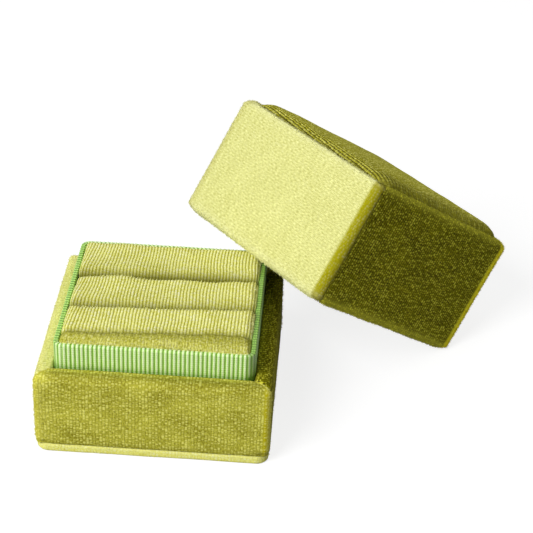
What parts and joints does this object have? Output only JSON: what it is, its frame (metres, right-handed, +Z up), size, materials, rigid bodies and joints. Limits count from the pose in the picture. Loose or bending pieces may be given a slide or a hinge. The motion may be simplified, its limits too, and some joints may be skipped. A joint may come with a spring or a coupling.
{
  "type": "double ring box",
  "caption": "Velvet-covered ring box: a ribboned neck round a slotted ring cushion, and a lift-off lid with a padded top, set down leaning on the base.",
  "frame": {"origin": "middle of the base's underside, on the table", "axes": "+Z up, the front of the base faces -Y, +X to the right seen from the front; the lid leans at the back right"},
  "size_m": [0.1141, 0.1082, 0.0587],
  "materials": {
    "velvet": "chartreuse cotton velvet with a short pile",
    "ribbon": "green grosgrain ribbon",
    "greyboard": "raw greyboard",
    "foam": "soft polyurethane foam",
    "lining": "matt woven lining on card"
  },
  "bodies": {
    "base": {"base_velvet_front": "velvet", "base_board_front": "greyboard", "base_velvet_right": "velvet", "base_board_right": "greyboard", "base_velvet_back": "velvet", "base_board_back": "greyboard", "base_velvet_left": "velvet", "base_board_left": "greyboard", "base_floor_board": "greyboard", "bottom_plate_velvet": "velvet", "bottom_plate_board": "greyboard", "neck_card": "greyboard", "neck_ribbon": "ribbon", "cushion_velvet_front": "velvet", "cushion_foam_front": "foam", "cushion_velvet_middle": "velvet", "cushion_foam_middle": "foam", "cushion_velvet_back": "velvet", "cushion_foam_back": "foam"},
    "lid": {"lid_velvet_front": "velvet", "lid_board_front": "greyboard", "lid_lining_front": "lining", "lid_velvet_right": "velvet", "lid_board_right": "greyboard", "lid_lining_right": "lining", "lid_velvet_back": "velvet", "lid_board_back": "greyboard", "lid_lining_back": "lining", "lid_velvet_left": "velvet", "lid_board_left": "greyboard", "lid_lining_left": "lining", "lid_ceiling_lining": "lining", "lid_top_board": "greyboard", "dome_board": "greyboard", "dome_foam": "foam", "dome_velvet": "velvet"}
  },
  "joints": [
    {"name": "lid_lift", "type": "slide", "parent": "base", "child": "lid", "axis": [0, 0, 1], "range_m": [0, 0.06]}
  ]
}
